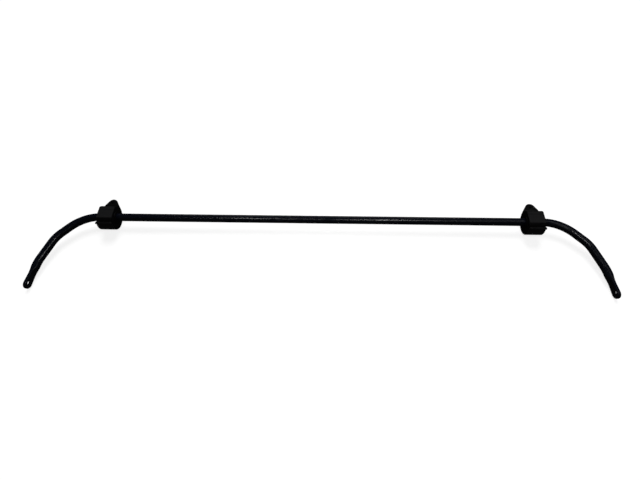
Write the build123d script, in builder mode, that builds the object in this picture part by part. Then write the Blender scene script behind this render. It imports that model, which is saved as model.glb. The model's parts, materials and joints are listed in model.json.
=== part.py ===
from build123d import *
from math import asin, cos, degrees, radians, sin, sqrt
import os

os.makedirs("parts", exist_ok=True)

# Sway bar with its two bush mounts, lying on a level surface, in millimetres.
# X runs along the bar, the arms reach towards -Y, and +Z is up. The origin is on the surface,
# under the middle of the whole part's box. Each mount is a split rubber bush with a flat seat on
# top, in a pressed-steel saddle bracket whose one bolt ear points to the rear (+Y).

# --- Bar: one piece, bent from round stock ---
BAR_DIA = 15.0
MOUNT_X = 407.0             # middle of each bush, measured from the middle of the bar
MOUNT_TO_BEND = 16.5        # from a bush's middle to where the bar starts to bend
SWEEP_RADIUS = 78.0         # bend radii are those of the bar's centreline
SWEEP_TURN = 45.5
UPPER_RUN = 18.0            # straight between the sweep and the elbow
ELBOW_RADIUS = 57.0
ELBOW_TURN = 24.0
LOWER_RUN = 33.0            # straight between the elbow and the toe bend
TOE_RADIUS = 72.0
TOE_TURN = 13.0
TOE_RUN = 2.5               # round stock left between the toe bend and the forging

# --- Forged end: the bar is flattened across the arms' plane and drilled ---
TAPER_LENGTH = 17.0         # round section down to the flat
BLADE_LENGTH = 17.5         # start of the flat to the middle of the eye's round end
NECK_WIDTH = 15.6           # where the flat starts
EYE_RADIUS = 9.0            # round end of the flat
BLADE_ROOT_LENGTH = 2.0     # parallel stretch of the flat before it widens to the eye
BLADE_THICKNESS = 6.0
BLADE_EDGE_ROUND = 1.8
EYE_HOLE_DIA = 8.4          # clears an M8 drop-link stud
EYE_HOLE_SETBACK = 2.0      # from the round end's middle back to the hole
EYE_HOLE_CHAMFER = 0.5

# --- Rubber bush: a round block with a flat seat, split so that it opens over the bar ---
BUSH_RADIUS = 21.5
BUSH_LENGTH = 31.0
SEAT_BELOW_CROWN = 4.0      # how much of the round is cut away for the flat seat
BUSH_SEAT_EDGE_ROUND = 1.2
BUSH_END_ROUND = 1.2
BORE_CLEARANCE = 0.05       # radial, between the bar and the bush
LIP_RADIUS = 12.0           # raised ring round the bore at each end
LIP_LENGTH = 1.0
SLIT_WIDTH = 0.6
SLIT_ANGLE = 70.0           # from +Y up towards +Z

# --- Steel bracket: a strap round the bush with one bolt ear ---
STEEL_THICKNESS = 2.5
STRAP_WIDTH = 30.0
FRONT_EDGE_HEIGHT = 14.0    # top of the strap's front edge, above the bar's axis
FRONT_LIP_LENGTH = 0.5      # how far the front edge turns out, beyond the strap
EAR_TOP_HEIGHT = 4.0        # top of the ear, above the bar's axis
EAR_HOLE_OFFSET = 31.2      # from the bar's axis back to the bolt hole
EAR_TIP_RADIUS = 9.0
COLLAR_DIA = 8.4            # drawn down from the ear round the tapped hole
COLLAR_DEPTH = 6.0          # from the ear's top down to the collar's mouth
COLLAR_EDGE_ROUND = 0.4
EAR_HOLE_DIA = 5.0          # inside the thread of an M6 bolt
BEND_INSIDE_RADIUS = 3.0    # bend between the strap and the ear
LIP_INSIDE_RADIUS = 1.0     # bend between the strap and the front lip
LIP_OUTSIDE_RADIUS = 3.0
STEEL_EDGE_ROUND = 0.6

# --- Sizes worked out from the values above ---
BAR_RADIUS = BAR_DIA / 2
BORE_RADIUS = BAR_RADIUS + BORE_CLEARANCE
BUSH_SEAT_HEIGHT = BUSH_RADIUS - SEAT_BELOW_CROWN
STRAP_RADIUS = BUSH_RADIUS + STEEL_THICKNESS
BEND_OUTSIDE_RADIUS = BEND_INSIDE_RADIUS + STEEL_THICKNESS
FRONT_EXTENT_OF_LIP = STRAP_RADIUS + FRONT_LIP_LENGTH
BEND_START = MOUNT_X + MOUNT_TO_BEND
SWEEP_END_ANGLE = SWEEP_TURN
ELBOW_END_ANGLE = SWEEP_END_ANGLE + ELBOW_TURN
TOE_END_ANGLE = ELBOW_END_ANGLE + TOE_TURN


def bend_depth(radius, angle_from, angle_to):
    """Distance that a bend carries the centreline away from the bar's own line."""
    return radius * (cos(radians(angle_from)) - cos(radians(angle_to)))


# In the arms' plane, from the bar's line out to the middle of the eye's round end.
EYE_REACH = (
    bend_depth(SWEEP_RADIUS, 0, SWEEP_END_ANGLE)
    + UPPER_RUN * sin(radians(SWEEP_END_ANGLE))
    + bend_depth(ELBOW_RADIUS, SWEEP_END_ANGLE, ELBOW_END_ANGLE)
    + LOWER_RUN * sin(radians(ELBOW_END_ANGLE))
    + bend_depth(TOE_RADIUS, ELBOW_END_ANGLE, TOE_END_ANGLE)
    + (TOE_RUN + TAPER_LENGTH + BLADE_LENGTH) * sin(radians(TOE_END_ANGLE))
)

# The straps' undersides and the lower edges of the eyes all touch the surface at Z = 0.
BAR_Z = STRAP_RADIUS
ARM_DROOP = degrees(asin((BAR_Z - EYE_RADIUS) / EYE_REACH))
FRONT_EXTENT = EYE_REACH * cos(radians(ARM_DROOP)) + EYE_RADIUS
REAR_EXTENT = EAR_HOLE_OFFSET + EAR_TIP_RADIUS
BAR_Y = (FRONT_EXTENT - REAR_EXTENT) / 2

EAR_TOP_Z = BAR_Z + EAR_TOP_HEIGHT
EAR_MIDDLE_Z = EAR_TOP_Z - STEEL_THICKNESS / 2
COLLAR_MOUTH_Z = EAR_TOP_Z - COLLAR_DEPTH

ARM_NORMAL = (0, -sin(radians(ARM_DROOP)), cos(radians(ARM_DROOP)))
ARM_PLANE = Plane(origin=(0, BAR_Y, BAR_Z), x_dir=(1, 0, 0), z_dir=ARM_NORMAL)


def section_plane(x):
    """Plane across the bar at x: its own x is +Y, its own y is +Z, its origin is the bar's axis."""
    return Plane(origin=(x, BAR_Y, BAR_Z), x_dir=(0, 1, 0), z_dir=(1, 0, 0))


# --- Centreline of the right half, as it is bent ---
with BuildLine(ARM_PLANE) as centreline:
    straight = Line((0, 0), (BEND_START, 0))
    sweep_bend = JernArc(straight @ 1, straight % 1, SWEEP_RADIUS, -SWEEP_TURN)
    upper_run = Line(sweep_bend @ 1, sweep_bend @ 1 + (sweep_bend % 1) * UPPER_RUN)
    elbow = JernArc(upper_run @ 1, upper_run % 1, ELBOW_RADIUS, -ELBOW_TURN)
    lower_run = Line(elbow @ 1, elbow @ 1 + (elbow % 1) * LOWER_RUN)
    toe_bend = JernArc(lower_run @ 1, lower_run % 1, TOE_RADIUS, -TOE_TURN)
    toe_run = Line(toe_bend @ 1, toe_bend @ 1 + (toe_bend % 1) * TOE_RUN)

ARM_END = toe_run @ 1
ARM_DIRECTION = toe_run % 1
BLADE_START = ARM_END + ARM_DIRECTION * TAPER_LENGTH
BLADE_NORMAL = ARM_DIRECTION.cross(Vector(*ARM_NORMAL))

BLADE_PLANE = Plane(origin=BLADE_START, x_dir=ARM_DIRECTION, z_dir=BLADE_NORMAL)

# --- Blade: the flat with its eye, on the right arm ---
with BuildPart() as blade:
    with BuildSketch(BLADE_PLANE):
        with Locations((BLADE_LENGTH, 0)):
            Circle(EYE_RADIUS)
        Rectangle(BLADE_ROOT_LENGTH, NECK_WIDTH, align=(Align.MIN, Align.CENTER))
        make_hull()
    extrude(amount=BLADE_THICKNESS / 2, both=True)
    flats = blade.faces().filter_by(BLADE_PLANE)
    root_face = blade.faces().sort_by(Axis(BLADE_START, ARM_DIRECTION))[0]
    fillet(flats.edges() - root_face.edges(), BLADE_EDGE_ROUND)
    with BuildSketch(BLADE_PLANE):
        with Locations((BLADE_LENGTH - EYE_HOLE_SETBACK, 0)):
            Circle(EYE_HOLE_DIA / 2)
    extrude(amount=BLADE_THICKNESS, both=True, mode=Mode.SUBTRACT)
    hole_rims = blade.edges().filter_by(lambda e: e.geom_type == GeomType.CIRCLE and e.is_closed)
    chamfer(hole_rims, EYE_HOLE_CHAMFER)
blade_root = blade.faces().sort_by(Axis(BLADE_START, ARM_DIRECTION))[0]

# --- Sway bar: the right half is bent, forged and mirrored ---
with BuildPart() as sway_bar:
    with BuildSketch(section_plane(0)):
        Circle(BAR_RADIUS)
    sweep(path=centreline.wire())
    with BuildSketch(Plane(origin=ARM_END, x_dir=ARM_NORMAL, z_dir=ARM_DIRECTION)) as taper_root:
        Circle(BAR_RADIUS)
    loft(sections=[taper_root.sketch.face(), blade_root])
    add(blade.part)
    mirror(about=Plane.YZ)
sway_bar.part.label = "sway_bar"
export_step(sway_bar.part, "parts/sway_bar.step")


def make_bush(mount_x):
    """Split rubber bush round the bar, centred at mount_x."""
    with BuildPart() as bush:
        with BuildSketch(section_plane(mount_x)):
            Circle(BUSH_RADIUS)
            with Locations((0, BUSH_SEAT_HEIGHT)):
                Rectangle(2 * BUSH_RADIUS, BUSH_RADIUS, align=(Align.CENTER, Align.MIN), mode=Mode.SUBTRACT)
            seat_corners = vertices().group_by(Axis.Y)[-1]
            fillet(seat_corners, BUSH_SEAT_EDGE_ROUND)
        extrude(amount=BUSH_LENGTH / 2, both=True)
        fillet(bush.faces().filter_by(Axis.X).edges(), BUSH_END_ROUND)
        for end in (-1, 1):
            with BuildSketch(section_plane(mount_x + end * BUSH_LENGTH / 2)):
                Circle(LIP_RADIUS)
            extrude(amount=end * LIP_LENGTH)
        with BuildSketch(section_plane(mount_x)):
            Circle(BORE_RADIUS)
            Rectangle(2 * BUSH_RADIUS, SLIT_WIDTH, rotation=SLIT_ANGLE, align=(Align.MIN, Align.CENTER))
        extrude(amount=BUSH_LENGTH / 2 + LIP_LENGTH, both=True, mode=Mode.SUBTRACT)
    return bush.part


def round_corner_at(arc_radius, side, up, radius):
    """Round the open sketch's corner where an arc round the axis meets the given height."""
    corner = (side * sqrt(arc_radius**2 - up**2), up)
    fillet(vertices().sort_by_distance(corner)[0], radius)


def make_bracket(mount_x):
    """Pressed-steel saddle bracket round the bush at mount_x, with its bolt ear to the rear."""
    with BuildPart() as bracket:
        with BuildSketch(section_plane(mount_x)):
            Circle(STRAP_RADIUS)
            with Locations((0, FRONT_EDGE_HEIGHT)):
                Rectangle(STRAP_RADIUS, STRAP_RADIUS, align=(Align.MAX, Align.MIN), mode=Mode.SUBTRACT)
                Rectangle(FRONT_EXTENT_OF_LIP, STEEL_THICKNESS, align=(Align.MAX, Align.MAX))
            with Locations((0, EAR_TOP_HEIGHT)):
                Rectangle(STRAP_RADIUS, STRAP_RADIUS, align=(Align.MIN, Align.MIN), mode=Mode.SUBTRACT)
                Rectangle(REAR_EXTENT, STEEL_THICKNESS, align=(Align.MIN, Align.MAX))
            Circle(BUSH_RADIUS, mode=Mode.SUBTRACT)
            round_corner_at(STRAP_RADIUS, 1, EAR_TOP_HEIGHT - STEEL_THICKNESS, BEND_INSIDE_RADIUS)
            round_corner_at(BUSH_RADIUS, 1, EAR_TOP_HEIGHT, BEND_OUTSIDE_RADIUS)
            round_corner_at(STRAP_RADIUS, -1, FRONT_EDGE_HEIGHT - STEEL_THICKNESS, LIP_INSIDE_RADIUS)
            round_corner_at(BUSH_RADIUS, -1, FRONT_EDGE_HEIGHT, LIP_OUTSIDE_RADIUS)
        extrude(amount=STRAP_WIDTH / 2, both=True)
        with BuildSketch(Plane(origin=(mount_x, BAR_Y, 0))):
            with Locations((0, -FRONT_EXTENT_OF_LIP)):
                Rectangle(STRAP_WIDTH, FRONT_EXTENT_OF_LIP + STRAP_RADIUS, align=(Align.CENTER, Align.MIN))
            with Locations((0, EAR_HOLE_OFFSET)):
                Circle(EAR_TIP_RADIUS)
            make_hull()
        extrude(amount=2 * STRAP_RADIUS, mode=Mode.INTERSECT)
        fillet(bracket.edges(), STEEL_EDGE_ROUND)
        with BuildSketch(Plane(origin=(mount_x, BAR_Y + EAR_HOLE_OFFSET, COLLAR_MOUTH_Z))):
            Circle(COLLAR_DIA / 2)
        extrude(amount=EAR_MIDDLE_Z - COLLAR_MOUTH_Z)
        fillet(bracket.edges().filter_by_position(Axis.Z, COLLAR_MOUTH_Z, COLLAR_MOUTH_Z)
               .filter_by(GeomType.CIRCLE), COLLAR_EDGE_ROUND)
        with Locations((mount_x, BAR_Y + EAR_HOLE_OFFSET, EAR_TOP_Z)):
            Hole(EAR_HOLE_DIA / 2)
    return bracket.part


for side, sign in (("left", -1), ("right", 1)):
    bush = make_bush(sign * MOUNT_X)
    bush.label = side + "_bush"
    export_step(bush, "parts/" + side + "_bush.step")
    bracket = make_bracket(sign * MOUNT_X)
    bracket.label = side + "_bracket"
    export_step(bracket, "parts/" + side + "_bracket.step")
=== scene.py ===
"""Looks of a sway bar with its two bush mounts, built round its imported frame.

The bar is bent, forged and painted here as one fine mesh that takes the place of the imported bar.
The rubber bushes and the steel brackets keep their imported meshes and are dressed. Sizes are in
millimetres, in the maker's own terms, until a mesh is made in metres.
"""

import json
import logging
from collections.abc import Iterator, Mapping, Sequence
from dataclasses import dataclass
from enum import Enum
from math import asin, atan2, ceil, cos, hypot, pi, radians, sin

import bmesh
import bpy
from mathutils import Matrix, Vector


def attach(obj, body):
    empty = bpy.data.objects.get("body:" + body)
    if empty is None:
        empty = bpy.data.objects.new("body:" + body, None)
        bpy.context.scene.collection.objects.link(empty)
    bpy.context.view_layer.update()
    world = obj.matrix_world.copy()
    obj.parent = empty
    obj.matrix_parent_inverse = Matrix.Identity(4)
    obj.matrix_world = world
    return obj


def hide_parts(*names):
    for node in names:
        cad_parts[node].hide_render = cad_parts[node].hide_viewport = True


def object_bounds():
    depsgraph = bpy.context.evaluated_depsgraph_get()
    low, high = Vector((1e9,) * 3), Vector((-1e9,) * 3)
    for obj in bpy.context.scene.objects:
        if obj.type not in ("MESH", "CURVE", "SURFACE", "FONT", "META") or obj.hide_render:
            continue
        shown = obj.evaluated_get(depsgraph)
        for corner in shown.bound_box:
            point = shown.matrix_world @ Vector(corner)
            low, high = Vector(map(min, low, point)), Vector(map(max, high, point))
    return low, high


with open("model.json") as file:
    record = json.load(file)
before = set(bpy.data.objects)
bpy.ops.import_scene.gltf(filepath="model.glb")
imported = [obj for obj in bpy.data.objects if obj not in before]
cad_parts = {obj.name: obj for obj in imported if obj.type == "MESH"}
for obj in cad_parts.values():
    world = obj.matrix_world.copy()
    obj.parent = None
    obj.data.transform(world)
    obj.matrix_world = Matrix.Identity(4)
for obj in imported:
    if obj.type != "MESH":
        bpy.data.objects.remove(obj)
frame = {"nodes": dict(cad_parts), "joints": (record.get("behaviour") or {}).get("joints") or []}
cad_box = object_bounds()

LOG = logging.getLogger("sway_bar")
MM = 0.001

# A colour Mix node's sockets share their names with those for numbers, so they go by number.
MIX_A, MIX_B, MIX_RESULT = 6, 7, 2

Colour = tuple[float, float, float, float]
Point = tuple[float, float, float]


class Side(Enum):
    """Which end of the bar a mount sits on, seen from the side that the arms reach towards."""

    LEFT = "left"
    RIGHT = "right"


# --------------------------------------------------------------------------------------------
# Helpers
# --------------------------------------------------------------------------------------------


def linear(code: str) -> Colour:
    """Turn an sRGB hex colour into linear light.

    Args:
        code: The colour as "#rrggbb".

    Returns:
        Red, green, blue and an alpha of one.
    """
    channels = [int(code[at:at + 2], 16) / 255 for at in (1, 3, 5)]
    red, green, blue = (
        c / 12.92 if c <= 0.04045 else ((c + 0.055) / 1.055) ** 2.4 for c in channels
    )
    return red, green, blue, 1.0


def add_node(
    tree: bpy.types.NodeTree,
    kind: str,
    settings: Mapping[str, object] | None = None,
    inputs: Mapping[str | int, object] | None = None,
) -> bpy.types.Node:
    """Add a node to a tree, with its settings, its values and its links.

    Args:
        tree: The tree that the node goes into.
        kind: The node's type name.
        settings: The node's own properties.
        inputs: For each input, by name or number, a value or the socket that feeds it.

    Returns:
        The new node.
    """
    node = tree.nodes.new(kind)
    for name, value in (settings or {}).items():
        setattr(node, name, value)
    for key, value in (inputs or {}).items():
        if isinstance(value, bpy.types.NodeSocket):
            tree.links.new(value, node.inputs[key])
        else:
            node.inputs[key].default_value = value
    return node


def per_metre(size: float) -> float:
    """Texture scale, in metres, that gives features of a size in millimetres."""
    return 1.0 / (size * MM)


def new_material(name: str, colour: str) -> tuple[bpy.types.Material, bpy.types.Node]:
    """Make an empty node material.

    Args:
        name: The material's name.
        colour: Its plain colour in the viewport.

    Returns:
        The material and its surface shader, which is linked to the output.
    """
    material = bpy.data.materials.new(name)
    material.use_nodes = True
    material.diffuse_color = linear(colour)
    tree = material.node_tree
    tree.nodes.clear()
    shader = add_node(tree, "ShaderNodeBsdfPrincipled")
    add_node(tree, "ShaderNodeOutputMaterial", inputs={"Surface": shader.outputs["BSDF"]})
    return material, shader


def mesh_object(name: str, mesh: bpy.types.Mesh) -> bpy.types.Object:
    """Put a mesh into the scene as an object at the origin."""
    item = bpy.data.objects.new(name, mesh)
    bpy.context.scene.collection.objects.link(item)
    return item


# --------------------------------------------------------------------------------------------
# Finishes
# --------------------------------------------------------------------------------------------


@dataclass(frozen=True)
class ChassisEnamel:
    """Gloss black enamel, sprayed over bent and forged spring steel and air-dried.

    The wet coat leaves a slight orange peel and small sags, so that highlights run along the bar
    in broken streaks. Handling and storage leave a little dust and some fine rubbed marks.
    """

    name: str = "gloss_enamel_on_spring_steel"
    colour: str = "#090d18"
    dusty: str = "#1b1d24"
    rubbed: str = "#55585c"
    roughness: float = 0.25
    roughness_spread: float = 0.22
    peel_size: float = 1.8
    peel_height: float = 0.012
    sag_length: float = 14.0
    sag_width: float = 4.0
    dust_size: float = 2.4
    rub_length: float = 9.0
    rub_width: float = 1.2
    refraction: float = 1.5

    # Where the noises start to show as sags, dust and rubbed marks, and where they show in full.
    SAG_LOW, SAG_HIGH = 0.3, 0.7
    DUST_FROM, DUST_FULL = 0.52, 0.78
    RUB_FROM, RUB_FULL = 0.72, 0.82

    def material(self) -> bpy.types.Material:
        """Build the paint's node material."""
        material, shader = new_material(self.name, self.colour)
        tree = material.node_tree
        place = add_node(tree, "ShaderNodeTexCoord").outputs["Object"]
        sag_scale = (per_metre(self.sag_length), *(per_metre(self.sag_width),) * 2)
        sags = add_node(tree, "ShaderNodeMapping", inputs={"Vector": place, "Scale": sag_scale})
        sag = add_node(
            tree, "ShaderNodeTexNoise",
            inputs={"Vector": sags.outputs["Vector"], "Scale": 1.0, "Detail": 3.0},
        )
        peel = add_node(
            tree, "ShaderNodeTexNoise",
            inputs={"Vector": place, "Scale": per_metre(self.peel_size), "Detail": 1.5},
        )
        specks = add_node(
            tree, "ShaderNodeTexNoise",
            inputs={"Vector": place, "Scale": per_metre(self.dust_size), "Detail": 6.0,
                    "Roughness": 0.75},
        )
        dust = add_node(
            tree, "ShaderNodeMapRange",
            inputs={"Value": specks.outputs["Fac"], "From Min": self.DUST_FROM,
                    "From Max": self.DUST_FULL},
        )
        rub_scale = (per_metre(self.rub_length), *(per_metre(self.rub_width),) * 2)
        rubs = add_node(tree, "ShaderNodeMapping", inputs={"Vector": place, "Scale": rub_scale})
        rub_noise = add_node(
            tree, "ShaderNodeTexNoise",
            inputs={"Vector": rubs.outputs["Vector"], "Scale": 1.0, "Detail": 2.0},
        )
        rub = add_node(
            tree, "ShaderNodeMapRange",
            inputs={"Value": rub_noise.outputs["Fac"], "From Min": self.RUB_FROM,
                    "From Max": self.RUB_FULL},
        )
        dust_and_painted_highlight = add_node(
            tree, "ShaderNodeMix", {"data_type": "RGBA"},
            {"Factor": dust.outputs["Result"], MIX_A: linear(self.colour),
             MIX_B: linear(self.dusty)},
        )
        half_spread = self.roughness_spread / 2
        worn = add_node(
            tree, "ShaderNodeMix", {"data_type": "RGBA"},
            {"Factor": rub.outputs["Result"], MIX_A: dust_and_painted_highlight.outputs[MIX_RESULT],
             MIX_B: linear(self.rubbed)},
        )
        gloss = add_node(
            tree, "ShaderNodeMapRange",
            inputs={"Value": sag.outputs["Fac"], "From Min": self.SAG_LOW,
                    "From Max": self.SAG_HIGH, "To Min": self.roughness - half_spread,
                    "To Max": self.roughness + half_spread},
        )
        bump = add_node(
            tree, "ShaderNodeBump",
            inputs={"Height": peel.outputs["Fac"], "Distance": self.peel_height * MM,
                    "Strength": 1.0},
        )
        tree.links.new(worn.outputs[MIX_RESULT], shader.inputs["Base Color"])
        tree.links.new(gloss.outputs["Result"], shader.inputs["Roughness"])
        tree.links.new(bump.outputs["Normal"], shader.inputs["Normal"])
        shader.inputs["IOR"].default_value = self.refraction
        return material


@dataclass(frozen=True)
class MouldedRubber:
    """Natural rubber filled with carbon black, moulded in a sparked steel tool.

    The tool leaves a fine even grain with no gloss. Wax that blooms out of the rubber greys it in
    soft patches. Faces that point up, most of all the flat seat, get a lighter grey painted on as a
    painted highlight from the overhead light.
    """

    name: str = "moulded_natural_rubber"
    colour: str = "#0d0d0e"
    bloom: str = "#19191a"
    # Lighter grey painted on faces that point up: a painted highlight from the overhead light.
    seat_painted_highlight: str = "#252526"
    roughness: float = 0.82
    specular_level: float = 0.1
    grain_size: float = 0.7
    grain_height: float = 0.03
    bloom_size: float = 11.0
    refraction: float = 1.52

    # Where the noise starts to show as bloom and shows in full, and the same for the painted
    # highlight on the seat, by how squarely a face points up.
    BLOOM_FROM, BLOOM_FULL = 0.38, 0.66
    UPWARD_FROM, UPWARD_FULL = 0.93, 0.995

    def material(self) -> bpy.types.Material:
        """Build the rubber's node material."""
        material, shader = new_material(self.name, self.colour)
        tree = material.node_tree
        place = add_node(tree, "ShaderNodeTexCoord").outputs["Object"]
        patches = add_node(
            tree, "ShaderNodeTexNoise",
            inputs={"Vector": place, "Scale": per_metre(self.bloom_size), "Detail": 5.0,
                    "Roughness": 0.6},
        )
        grey = add_node(
            tree, "ShaderNodeMapRange",
            inputs={"Value": patches.outputs["Fac"], "From Min": self.BLOOM_FROM,
                    "From Max": self.BLOOM_FULL},
        )
        grain = add_node(
            tree, "ShaderNodeTexNoise",
            inputs={"Vector": place, "Scale": per_metre(self.grain_size), "Detail": 2.0},
        )
        tint = add_node(
            tree, "ShaderNodeMix", {"data_type": "RGBA"},
            {"Factor": grey.outputs["Result"], MIX_A: linear(self.colour),
             MIX_B: linear(self.bloom)},
        )
        # Painted highlight: faces that point up, like the flat seat, are mixed towards a lighter
        # grey for the overhead light that falls on them.
        facing = add_node(
            tree, "ShaderNodeSeparateXYZ",
            inputs={"Vector": add_node(tree, "ShaderNodeTexCoord").outputs["Normal"]},
        )
        seat = add_node(
            tree, "ShaderNodeMapRange",
            inputs={"Value": facing.outputs["Z"], "From Min": self.UPWARD_FROM,
                    "From Max": self.UPWARD_FULL},
        )
        dust_and_painted_highlight = add_node(
            tree, "ShaderNodeMix", {"data_type": "RGBA"},
            {"Factor": seat.outputs["Result"], MIX_A: tint.outputs[MIX_RESULT],
             MIX_B: linear(self.seat_painted_highlight)},
        )
        bump = add_node(
            tree, "ShaderNodeBump",
            inputs={"Height": grain.outputs["Fac"], "Distance": self.grain_height * MM,
                    "Strength": 1.0},
        )
        tree.links.new(dust_and_painted_highlight.outputs[MIX_RESULT], shader.inputs["Base Color"])
        tree.links.new(bump.outputs["Normal"], shader.inputs["Normal"])
        shader.inputs["Roughness"].default_value = self.roughness
        shader.inputs["Specular IOR Level"].default_value = self.specular_level
        shader.inputs["IOR"].default_value = self.refraction
        return material


@dataclass(frozen=True)
class Electrocoat:
    """Black electrocoat on pressed mild steel.

    The bath lays an even satin film that follows the steel's rolled grain. It thins over sharp
    edges, which handling rubs to a dull grey.
    """

    name: str = "black_electrocoat_on_pressed_steel"
    colour: str = "#0a0a0b"
    worn: str = "#3d3d3e"
    roughness: float = 0.38
    roughness_spread: float = 0.12
    grain_size: float = 0.9
    grain_height: float = 0.012
    edge_width: float = 0.45
    patch_size: float = 6.0
    refraction: float = 1.5

    # How far the surface turns at a rubbed edge, where the patches break the rubbing up, and the
    # stretch of the patches that varies the gloss.
    EDGE_FROM, EDGE_FULL = 0.985, 0.9
    BROKEN_FROM, BROKEN_FULL = 0.45, 0.62
    PATCH_LOW, PATCH_HIGH = 0.3, 0.7
    BEVEL_SAMPLES = 6

    def material(self) -> bpy.types.Material:
        """Build the coated steel's node material."""
        material, shader = new_material(self.name, self.colour)
        tree = material.node_tree
        place = add_node(tree, "ShaderNodeTexCoord").outputs["Object"]
        grain = add_node(
            tree, "ShaderNodeTexNoise",
            inputs={"Vector": place, "Scale": per_metre(self.grain_size), "Detail": 3.0},
        )
        patches = add_node(
            tree, "ShaderNodeTexNoise",
            inputs={"Vector": place, "Scale": per_metre(self.patch_size), "Detail": 4.0},
        )
        edge = add_node(
            tree, "ShaderNodeBevel", {"samples": self.BEVEL_SAMPLES},
            {"Radius": self.edge_width * MM},
        )
        true_normal = add_node(tree, "ShaderNodeNewGeometry").outputs["Normal"]
        facing = add_node(
            tree, "ShaderNodeVectorMath", {"operation": "DOT_PRODUCT"},
            {0: edge.outputs["Normal"], 1: true_normal},
        )
        on_edge = add_node(
            tree, "ShaderNodeMapRange",
            inputs={"Value": facing.outputs["Value"], "From Min": self.EDGE_FROM,
                    "From Max": self.EDGE_FULL},
        )
        broken = add_node(
            tree, "ShaderNodeMapRange",
            inputs={"Value": patches.outputs["Fac"], "From Min": self.BROKEN_FROM,
                    "From Max": self.BROKEN_FULL},
        )
        rubbed = add_node(
            tree, "ShaderNodeMath", {"operation": "MULTIPLY"},
            {0: on_edge.outputs["Result"], 1: broken.outputs["Result"]},
        )
        tint = add_node(
            tree, "ShaderNodeMix", {"data_type": "RGBA"},
            {"Factor": rubbed.outputs["Value"], MIX_A: linear(self.colour),
             MIX_B: linear(self.worn)},
        )
        half_spread = self.roughness_spread / 2
        gloss = add_node(
            tree, "ShaderNodeMapRange",
            inputs={"Value": patches.outputs["Fac"], "From Min": self.PATCH_LOW,
                    "From Max": self.PATCH_HIGH, "To Min": self.roughness - half_spread,
                    "To Max": self.roughness + half_spread},
        )
        bump = add_node(
            tree, "ShaderNodeBump",
            inputs={"Height": grain.outputs["Fac"], "Distance": self.grain_height * MM,
                    "Strength": 1.0},
        )
        tree.links.new(tint.outputs[MIX_RESULT], shader.inputs["Base Color"])
        tree.links.new(gloss.outputs["Result"], shader.inputs["Roughness"])
        tree.links.new(bump.outputs["Normal"], shader.inputs["Normal"])
        shader.inputs["IOR"].default_value = self.refraction
        return material


@dataclass(frozen=True)
class SweepPaper:
    """Seamless white studio paper, matte and lit through from behind, so that shadows stay pale."""

    name: str = "white_studio_paper"
    colour: str = "#bcbcbc"
    glow_colour: str = "#ffffff"
    roughness: float = 0.9
    glow: float = 0.83

    def material(self) -> bpy.types.Material:
        """Build the paper's node material."""
        material, shader = new_material(self.name, self.colour)
        shader.inputs["Base Color"].default_value = linear(self.colour)
        shader.inputs["Roughness"].default_value = self.roughness
        shader.inputs["Specular IOR Level"].default_value = 0.0
        shader.inputs["Emission Color"].default_value = linear(self.glow_colour)
        shader.inputs["Emission Strength"].default_value = self.glow
        return material


# --------------------------------------------------------------------------------------------
# The bar
# --------------------------------------------------------------------------------------------


@dataclass(frozen=True)
class Bend:
    """One bend of the bar, by its centreline, and the straight run that follows it.

    Attributes:
        radius: Bend radius in mm.
        turn: Turn in degrees.
        run: Length of the straight run after the bend, in mm.
    """

    radius: float
    turn: float
    run: float


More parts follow.
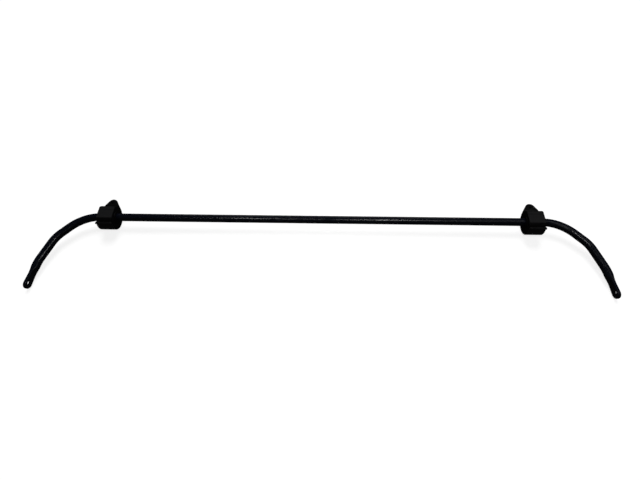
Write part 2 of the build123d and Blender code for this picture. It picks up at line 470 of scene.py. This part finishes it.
@dataclass(frozen=True)
class ForgedEye:
    """The flattened and drilled end of an arm, in its own directions.

    u runs along the arm from the start of the flat, v across the flat and w through it. The
    flat's rims are rounded by the forging die. The eye's hole is drilled and chamfered.

    Attributes:
        bar_radius: Radius of the round stock, in mm.
        taper_length: From the round stock to the flat.
        length: From the start of the flat to the middle of its round end.
        neck_width: Width where the flat starts.
        end_radius: Radius of the round end.
        thickness: Thickness of the flat.
        rim_round: Rounding of the flat's rims.
        hole_diameter: Diameter of the eye's hole.
        hole_setback: From the middle of the round end back to the hole.
        hole_chamfer: Chamfer on both rims of the hole.
    """

    bar_radius: float = 7.5
    taper_length: float = 17.0
    length: float = 17.5
    neck_width: float = 15.6
    end_radius: float = 9.0
    thickness: float = 6.0
    rim_round: float = 1.8
    hole_diameter: float = 8.4
    hole_setback: float = 2.0
    hole_chamfer: float = 0.5

    SIDE_STEPS = 2
    CORNER_STEPS = 5
    FLAT_STEPS = 9
    TAPER_STEPS = 24
    EDGE_STEPS = 20
    ROUND_STEP = 4.0
    BORE_STEPS = 4
    PLATE_RINGS = 3

    @property
    def sides(self) -> int:
        """Number of points round the arm's section."""
        return 4 * (self.SIDE_STEPS + self.CORNER_STEPS + self.FLAT_STEPS)

    def rim(self) -> list[tuple[float, float]]:
        """Profile of a rim, as depth inwards from the outline and height w, from w = 0 up."""
        half, turn = self.thickness / 2, self.rim_round
        straight = half - turn
        side = [(0.0, straight * step / self.SIDE_STEPS) for step in range(self.SIDE_STEPS)]
        corner = [
            (turn * (1 - cos(angle)), straight + turn * sin(angle))
            for step in range(self.CORNER_STEPS + 1)
            for angle in (pi / 2 * step / self.CORNER_STEPS,)
        ]
        return side + corner

    def flat_section(self) -> list[tuple[float, float]]:
        """Section (v, w) where the flat starts, counted from the middle of its +v side."""
        width = self.neck_width / 2
        quarter = [(width - depth, height) for depth, height in self.rim()]
        inner, top = quarter[-1]
        quarter += [
            (inner * (1 - step / self.FLAT_STEPS), top) for step in range(1, self.FLAT_STEPS)
        ]
        crown = [(0.0, top)]
        half = quarter + crown + [(-v, w) for v, w in reversed(quarter)]
        return half + [(v, -w) for v, w in reversed(half[1:-1])]

    def taper_rings(self) -> Iterator[list[Point]]:
        """Rings of (u, v, w) from the round stock to the flat, easing out of one into the other.

        Yields:
            One ring after another. The last one lies at u = 0.
        """
        flat = self.flat_section()
        for step in range(self.TAPER_STEPS + 1):
            along = step / self.TAPER_STEPS
            share = along * along * (3 - 2 * along)
            ring = []
            for number, (v, w) in enumerate(flat):
                angle = 2 * pi * number / len(flat)
                round_v, round_w = self.bar_radius * cos(angle), self.bar_radius * sin(angle)
                ring.append((
                    (along - 1) * self.taper_length,
                    round_v + (v - round_v) * share,
                    round_w + (w - round_w) * share,
                ))
            yield ring

    def outline(self) -> list[tuple[float, float, float, float]]:
        """Outline of the flat from its +v neck round the end to its -v neck.

        Returns:
            For each point its u and v, and the u and v of the direction inwards.
        """
        neck = self.neck_width / 2
        reach = hypot(self.length, neck)
        slope = asin(self.end_radius / reach) - atan2(neck, self.length)
        edge = (reach**2 - self.end_radius**2) ** 0.5
        points = []
        for step in range(self.EDGE_STEPS):
            along = edge * step / self.EDGE_STEPS
            inwards = (sin(slope), -cos(slope)) if step else (0.0, -1.0)
            points.append((along * cos(slope), neck + along * sin(slope), *inwards))
        count = ceil((pi / 2 + slope) / radians(self.ROUND_STEP))
        for step in range(count):
            angle = (pi / 2 + slope) * (1 - step / count)
            u, v = cos(angle), sin(angle)
            points.append((self.length + self.end_radius * u, self.end_radius * v, -u, -v))
        tip = (self.length + self.end_radius, 0.0, -1.0, 0.0)
        return points + [tip] + [(u, -v, iu, -iv) for u, v, iu, iv in reversed(points)]

    def build(self, shape: bmesh.types.BMesh, place: Matrix) -> None:
        """Add the taper and the flat to a mesh, open where they meet the round stock.

        Args:
            shape: The mesh that they are added to.
            place: Turns (u, v, w) into the mesh's own directions.
        """
        rings = [
            [shape.verts.new(place @ Vector(at)) for at in ring] for ring in self.taper_rings()
        ]
        for ring, following in zip(rings, rings[1:]):
            self.join(shape, ring, following, closed=True)
        root = rings[-1]
        quarter = self.SIDE_STEPS + self.CORNER_STEPS
        lower = [(depth, -height) for depth, height in self.rim()[1:]]
        profile = list(reversed(self.rim())) + lower
        columns = [
            [shape.verts.new(place @ Vector((u + iu * depth, v + iv * depth, height)))
             for depth, height in profile]
            for u, v, iu, iv in self.outline()[1:-1]
        ]
        first = [root[(quarter - step) % self.sides] for step in range(len(profile))]
        last = [root[self.sides // 2 - quarter + step] for step in range(len(profile))]
        columns = [first, *columns, last]
        for column, following in zip(columns, columns[1:]):
            self.join(shape, column, following, closed=False)
        half = self.sides // 2
        top = [column[0] for column in columns] + root[half - quarter - 1:quarter:-1]
        bottom = [column[-1] for column in columns] + root[half + quarter + 1:self.sides - quarter]
        self.drill(shape, place, top, bottom)

    def drill(
        self,
        shape: bmesh.types.BMesh,
        place: Matrix,
        top: Sequence[bmesh.types.BMVert],
        bottom: Sequence[bmesh.types.BMVert],
    ) -> None:
        """Fill both faces of the flat inwards to the hole, and line the hole.

        Args:
            shape: The mesh that is being built.
            place: Turns (u, v, w) into the mesh's own directions.
            top: Loop of vertices round the upper face.
            bottom: The loop below it, vertex for vertex.
        """
        back = place.inverted()
        middle, bore = self.length - self.hole_setback, self.hole_diameter / 2
        half = self.thickness / 2

        def circle(radius: float, height: float) -> list[bmesh.types.BMVert]:
            """Ring round the hole's axis, with one vertex towards each of the loop's."""
            ring = []
            for vertex in top:
                local = back @ vertex.co
                across = Vector((local.x - middle, local.y)).normalized() * radius
                ring.append(shape.verts.new(place @ Vector((middle + across.x, across.y, height))))
            return ring

        def between(
            outer: Sequence[bmesh.types.BMVert], inner: Sequence[bmesh.types.BMVert]
        ) -> None:
            """Fill one flat face between its rim and the hole."""
            rings = [list(outer)]
            for step in range(1, self.PLATE_RINGS):
                share = step / self.PLATE_RINGS
                rings.append([
                    shape.verts.new(a.co.lerp(b.co, share)) for a, b in zip(outer, inner)
                ])
            rings.append(list(inner))
            for ring, following in zip(rings, rings[1:]):
                self.join(shape, ring, following, closed=True)

        wall_top = half - self.hole_chamfer
        drop = 2 * wall_top / self.BORE_STEPS
        wall = [circle(bore, wall_top - drop * step) for step in range(self.BORE_STEPS + 1)]
        mouth = bore + self.hole_chamfer
        upper, under = circle(mouth, half), circle(mouth, -half)
        between(top, upper)
        between(bottom, under)
        lining = [upper, *wall, under]
        for ring, following in zip(lining, lining[1:]):
            self.join(shape, ring, following, closed=True)

    @staticmethod
    def join(
        shape: bmesh.types.BMesh,
        ring: Sequence[bmesh.types.BMVert],
        following: Sequence[bmesh.types.BMVert],
        closed: bool,
    ) -> None:
        """Join two rows of vertices with quads.

        Args:
            shape: The mesh that is being built.
            ring: One row.
            following: The next row, vertex for vertex.
            closed: Whether the rows run all the way round.
        """
        for number in range(len(ring) if closed else len(ring) - 1):
            after = (number + 1) % len(ring)
            shape.faces.new((ring[number], ring[after], following[after], following[number]))


@dataclass(frozen=True)
class SwayBar:
    """The bar: one length of round spring steel, bent to two arms and forged at both ends.

    It is laid out in the arms' plane, with the bar's own line along X and the arms towards -Y,
    then tipped about that line so that the arms droop to the surface.

    Attributes:
        finish: What it is painted with.
        diameter: Diameter of the round stock, in mm.
        bend_start: From the middle of the bar to the first bend.
        bends: The bends of one arm, from the bar outwards.
        eye: The forged end.
    """

    finish: ChassisEnamel = ChassisEnamel()
    diameter: float = 15.0
    bend_start: float = 423.5
    bends: tuple[Bend, ...] = (
        Bend(78.0, 45.5, 18.0),
        Bend(57.0, 24.0, 33.0),
        Bend(72.0, 13.0, 2.5),
    )
    eye: ForgedEye = ForgedEye()

    BEND_STEP = 1.25
    STRAIGHT_STEP = 20.0
    WELD = 0.002
    SHARP = 30.0

    def centreline(self) -> tuple[list[Vector], float]:
        """Bend the right half's centreline.

        Returns:
            Its points in mm, from the middle of the bar to where the forging starts, and the
            heading of its end in radians, from +X.
        """
        count = ceil(self.bend_start / self.STRAIGHT_STEP)
        points = [Vector((self.bend_start * step / count, 0.0, 0.0)) for step in range(count + 1)]
        heading = 0.0
        for bend in self.bends:
            centre = points[-1] + bend.radius * Vector((sin(heading), -cos(heading), 0.0))
            steps = ceil(bend.turn / self.BEND_STEP)
            for _ in range(steps):
                heading -= radians(bend.turn) / steps
                points.append(centre + bend.radius * Vector((-sin(heading), cos(heading), 0.0)))
            steps = ceil(bend.run / self.STRAIGHT_STEP)
            start, along = points[-1], Vector((cos(heading), sin(heading), 0.0))
            points += [start + along * bend.run * step / steps for step in range(1, steps + 1)]
        return points, heading

    def reach(self) -> float:
        """Distance in mm from the bar's line out to the middle of the eye's round end."""
        points, heading = self.centreline()
        return -points[-1].y - (self.eye.taper_length + self.eye.length) * sin(heading)

    def stock_tree(self) -> bpy.types.NodeTree:
        """Geometry nodes that sweep round stock along a bent line."""
        tree = bpy.data.node_groups.new("round_stock_along_line", "GeometryNodeTree")
        face = tree.interface
        face.new_socket("Line", in_out="INPUT", socket_type="NodeSocketGeometry")
        face.new_socket("Diameter", in_out="INPUT", socket_type="NodeSocketFloat")
        face.new_socket("Sides", in_out="INPUT", socket_type="NodeSocketInt")
        face.new_socket("Finish", in_out="INPUT", socket_type="NodeSocketMaterial")
        face.new_socket("Stock", in_out="OUTPUT", socket_type="NodeSocketGeometry")
        given = add_node(tree, "NodeGroupInput").outputs
        upright = add_node(
            tree, "GeometryNodeSetCurveNormal", {"mode": "Z_UP"}, {"Curve": given["Line"]}
        )
        radius = add_node(
            tree, "ShaderNodeMath", {"operation": "MULTIPLY"}, {0: given["Diameter"], 1: 0.5}
        )
        section = add_node(
            tree, "GeometryNodeCurvePrimitiveCircle", {"mode": "RADIUS"},
            {"Resolution": given["Sides"], "Radius": radius.outputs["Value"]},
        )
        swept = add_node(
            tree, "GeometryNodeCurveToMesh",
            inputs={"Curve": upright.outputs["Curve"], "Profile Curve": section.outputs["Curve"],
                    "Fill Caps": False},
        )
        real = add_node(
            tree, "GeometryNodeRealizeInstances", inputs={"Geometry": swept.outputs["Mesh"]}
        )
        painted = add_node(
            tree, "GeometryNodeSetMaterial",
            inputs={"Geometry": real.outputs["Geometry"], "Material": given["Finish"]},
        )
        add_node(tree, "NodeGroupOutput", inputs={"Stock": painted.outputs["Geometry"]})
        return tree

    def round_stock(self, points: Sequence[Vector], paint: bpy.types.Material) -> bpy.types.Mesh:
        """Sweep the stock along the whole centreline.

        Args:
            points: The right half's centreline, in mm.
            paint: The paint's material.

        Returns:
            The open tube from one forging to the other, in metres, in the arms' plane.
        """
        mirrored = [Vector((-at.x, at.y, at.z)) for at in reversed(points[1:])]
        line = bpy.data.curves.new("bar_line", "CURVE")
        line.dimensions = "3D"
        spline = line.splines.new("POLY")
        whole = [*mirrored, *points]
        spline.points.add(len(whole) - 1)
        for point, at in zip(spline.points, whole):
            point.co = (*(at * MM), 1.0)
        item = bpy.data.objects.new("bar_line", line)
        bpy.context.scene.collection.objects.link(item)
        tree = self.stock_tree()
        modifier = item.modifiers.new("stock", "NODES")
        modifier.node_group = tree
        values = {"Diameter": self.diameter * MM, "Sides": self.eye.sides, "Finish": paint}
        for socket in tree.interface.items_tree:
            if socket.name in values and socket.in_out == "INPUT":
                modifier[socket.identifier] = values[socket.name]
        evaluated = item.evaluated_get(bpy.context.evaluated_depsgraph_get())
        mesh = bpy.data.meshes.new_from_object(evaluated)
        bpy.data.objects.remove(item)
        bpy.data.curves.remove(line)
        return mesh

    def build(self, axis: Vector) -> bpy.types.Object:
        """Make the whole bar as one closed mesh.

        Args:
            axis: A point on the bar's own line, in metres.

        Returns:
            The bar, painted.
        """
        points, heading = self.centreline()
        paint = self.finish.material()
        mesh = self.round_stock(points, paint)
        shape = bmesh.new()
        shape.from_mesh(mesh)
        along = Vector((cos(heading), sin(heading), 0.0))
        across = Vector((0.0, 0.0, 1.0))
        through = along.cross(across)
        start = points[-1] + along * self.eye.taper_length
        right = Matrix.Scale(MM, 4) @ Matrix((
            (along.x, across.x, through.x, start.x),
            (along.y, across.y, through.y, start.y),
            (along.z, across.z, through.z, start.z),
            (0.0, 0.0, 0.0, 1.0),
        ))
        mirror = Matrix.Diagonal((-1.0, 1.0, 1.0, 1.0))
        for place in (right, mirror @ right):
            self.eye.build(shape, place)
        bmesh.ops.remove_doubles(shape, verts=shape.verts, dist=self.WELD * MM)
        bmesh.ops.recalc_face_normals(shape, faces=shape.faces)
        droop = asin((axis.z / MM - self.eye.end_radius) / self.reach())
        shape.transform(Matrix.Translation((0.0, axis.y, axis.z)) @ Matrix.Rotation(droop, 4, "X"))
        for face in shape.faces:
            face.smooth = True
        open_edges = sum(not edge.is_manifold for edge in shape.edges)
        LOG.info("bar: %d faces, %d open edges", len(shape.faces), open_edges)
        shape.to_mesh(mesh)
        shape.free()
        mesh.set_sharp_from_angle(angle=radians(self.SHARP))
        mesh.name = "bar"
        return mesh_object("bent_bar", mesh)


# --------------------------------------------------------------------------------------------
# The mounts
# --------------------------------------------------------------------------------------------


@dataclass(frozen=True)
class Mount:
    """One bush in its bracket.

    Attributes:
        side: Which mount it is.
        rubber: What the bush is moulded from.
        coat: What the bracket is coated with.
    """

    side: Side
    rubber: bpy.types.Material
    coat: bpy.types.Material

    def dress(self) -> None:
        """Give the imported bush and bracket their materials."""
        for piece, material in (("bush", self.rubber), ("bracket", self.coat)):
            node = frame["nodes"][f"{self.side.value}_{piece}"]
            for slot in node.material_slots:
                slot.material = material


# --------------------------------------------------------------------------------------------
# The studio
# --------------------------------------------------------------------------------------------


@dataclass(frozen=True)
class SoftBox:
    """A rectangular studio lamp that faces the object and only shows as a reflection in its gloss.

    Attributes:
        name: The lamp's name.
        at: Its middle, in metres.
        size: Its width along X and its depth, in metres.
        power: Its power in watts.
        spread: Angle in degrees that its grid lets the light out through.
    """

    name: str
    at: Point
    size: tuple[float, float]
    power: float
    spread: float = 180.0

    def hang(self, target: Vector) -> None:
        """Make the lamp and turn it to the target."""
        light = bpy.data.lights.new(self.name, "AREA")
        light.shape = "RECTANGLE"
        light.size, light.size_y = self.size
        light.energy = self.power
        light.diffuse_factor = 0.0
        light.spread = radians(self.spread)
        lamp = bpy.data.objects.new(self.name, light)
        bpy.context.scene.collection.objects.link(lamp)
        lamp.location = self.at
        lamp.rotation_euler = (target - lamp.location).to_track_quat("-Z", "Y").to_euler()


@dataclass(frozen=True)
class Studio:
    """White paper under soft light, with a camera that looks down on the bar.

    Attributes:
        paper: What the floor is made of.
        backdrop: What hangs all round it.
        floor_width: Width of the floor, in metres.
        overhead: Strength of the overhead light.
        overhead_spread: Its angular width in degrees.
        overhead_lean: How far it stands behind the vertical, in degrees.
        surroundings: Brightness of the dim room round the paper.
        boxes: The lamps whose reflections run along the bar.
        camera_at: Where the camera is, in mm.
        tilt: How far it looks down, in degrees.
        heading: How far it looks to the right of straight ahead, in degrees.
        roll: How far it leans, in degrees.
        lens: Its focal length in mm, on a frame 36 mm wide.
    """

    paper: SweepPaper = SweepPaper()
    backdrop: SweepPaper = SweepPaper(
        name="backlit_backdrop_paper", colour="#000000", glow=0.97
    )
    floor_width: float = 30.0
    overhead: float = 1.2
    overhead_spread: float = 30.0
    overhead_lean: float = 32.0
    surroundings: float = 0.02
    boxes: tuple[SoftBox, ...] = (
        SoftBox("left_box", (-0.32, -0.34, 0.95), (0.16, 0.09), 0.06, 44.0),
        SoftBox("right_box", (0.23, -0.34, 0.95), (0.2, 0.09), 0.5, 120.0),
        SoftBox("long_box", (0.55, -0.34, 0.97), (1.4, 0.09), 0.4),
        SoftBox("back_box", (0.0, 1.3, 0.7), (1.6, 0.25), 1.6),
    )
    camera_at: Point = (30.67, -425.59, 719.71)
    tilt: float = 58.03
    heading: float = -3.38
    roll: float = -2.1
    lens: float = 24.75

    SENSOR = 36.0
    NEAREST, FARTHEST = 0.01, 100.0
    BACKDROP_SIDES = 48

    def lay_floor(self, height: float) -> None:
        """Lay the paper at a height in metres, and hang more of it all round as a backdrop."""
        half = self.floor_width / 2
        corners = [(x * half, y * half, height) for x, y in ((-1, -1), (1, -1), (1, 1), (-1, 1))]
        floor_mesh = bpy.data.meshes.new("floor")
        floor_mesh.from_pydata(corners, [], [(0, 1, 2, 3)])
        shape = bmesh.new()
        bmesh.ops.create_uvsphere(
            shape, u_segments=self.BACKDROP_SIDES, v_segments=self.BACKDROP_SIDES // 2,
            radius=half, matrix=Matrix.Translation((0, 0, height)),
        )
        bmesh.ops.reverse_faces(shape, faces=shape.faces)
        backdrop_mesh = bpy.data.meshes.new("backdrop")
        shape.to_mesh(backdrop_mesh)
        shape.free()
        papers = ((floor_mesh, self.paper), (backdrop_mesh, self.backdrop))
        for mesh, paper in papers:
            mesh.materials.append(paper.material())
            item = mesh_object(mesh.name, mesh)
            item.visible_glossy = item.visible_diffuse = item.visible_shadow = False

    def light(self, target: Vector) -> None:
        """Light the room, the paper and the object."""
        world = bpy.data.worlds.new("room")
        world.use_nodes = True
        world.node_tree.nodes.clear()
        room = add_node(
            world.node_tree, "ShaderNodeBackground",
            inputs={"Color": (1.0, 1.0, 1.0, 1.0), "Strength": self.surroundings},
        )
        add_node(world.node_tree, "ShaderNodeOutputWorld", inputs={"Surface": room.outputs[0]})
        bpy.context.scene.world = world
        sky = bpy.data.lights.new("overhead", "SUN")
        sky.energy, sky.angle = self.overhead, radians(self.overhead_spread)
        lamp = bpy.data.objects.new("overhead", sky)
        lamp.rotation_euler.x = -radians(self.overhead_lean)
        lamp.visible_glossy = False
        bpy.context.scene.collection.objects.link(lamp)
        for box in self.boxes:
            box.hang(target)

    def set_camera(self) -> None:
        """Make the camera and aim it."""
        tilt, heading, roll = radians(self.tilt), radians(self.heading), radians(self.roll)
        ahead = Vector((sin(heading) * cos(tilt), cos(heading) * cos(tilt), -sin(tilt)))
        level = Vector((cos(heading), -sin(heading), 0.0))
        up = level.cross(ahead)
        right = level * cos(roll) + up * sin(roll)
        top = up * cos(roll) - level * sin(roll)
        data = bpy.data.cameras.new("camera")
        data.sensor_width, data.lens = self.SENSOR, self.lens
        data.clip_start, data.clip_end = self.NEAREST, self.FARTHEST
        camera = bpy.data.objects.new("camera", data)
        camera.matrix_world = Matrix.Translation(Vector(self.camera_at) * MM) @ Matrix(
            (right, top, -ahead)
        ).transposed().to_4x4()
        bpy.context.scene.collection.objects.link(camera)
        bpy.context.scene.camera = camera

    def build(self) -> None:
        """Set up the floor, the lights and the camera."""
        low, high = cad_box
        self.lay_floor(low.z)
        self.light((low + high) / 2)
        self.set_camera()
        bpy.context.scene.view_settings.view_transform = "Standard"


# --------------------------------------------------------------------------------------------
# Everything in order
# --------------------------------------------------------------------------------------------


def mount_axis() -> Vector:
    """A point on the bar's own line, in metres, where a mount turns on it."""
    return Vector(frame["joints"][0]["pos_m"])


def main() -> None:
    """Build the bar, dress the mounts and set up the studio."""
    logging.basicConfig(level=logging.INFO, format="%(name)s: %(message)s")
    bar = SwayBar().build(mount_axis())
    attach(bar, "bar")
    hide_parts("sway_bar")
    rubber, coat = MouldedRubber().material(), Electrocoat().material()
    for side in Side:
        Mount(side, rubber, coat).dress()
        LOG.info("%s mount dressed", side.value)
    Studio().build()


if __name__ == "__main__":
    main()
